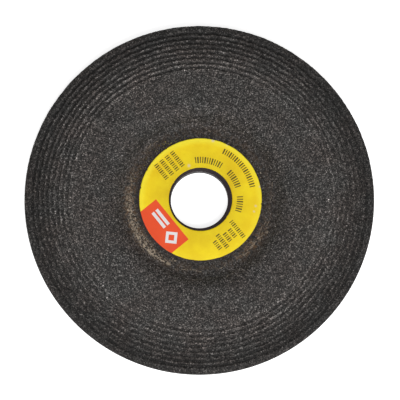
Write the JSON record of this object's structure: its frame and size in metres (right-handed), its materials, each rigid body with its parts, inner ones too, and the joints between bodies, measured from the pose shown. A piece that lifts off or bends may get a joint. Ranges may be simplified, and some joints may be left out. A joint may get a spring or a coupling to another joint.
{
  "type": "grinding wheel",
  "caption": "Depressed-centre bonded abrasive grinding wheel with a grooved working face, glass-fibre nets and a paper label round the bore.",
  "frame": {"origin": "centre of the bore in the plane of the hub's back face, which is the lowest plane of the wheel", "axes": "+Z along the bore from the hub's back face towards the grinding face; +X and +Y in the plane of the wheel"},
  "size_m": [0.1, 0.1, 0.01],
  "materials": {
    "coarse_grain": "coarse open grain, charcoal, with bright and brown specks",
    "fine_grain": "finer closed grain, near black",
    "glass_net": "resin-soaked glass yarn, tan",
    "label_paper": "coated yellow paper with an orange-red patch and dark print"
  },
  "bodies": {
    "root": {"grinding_layer": "coarse_grain", "middle_net": "glass_net", "backing_layer": "fine_grain", "back_net": "glass_net", "hub_net": "glass_net", "paper_label": "label_paper"}
  },
  "joints": []
}
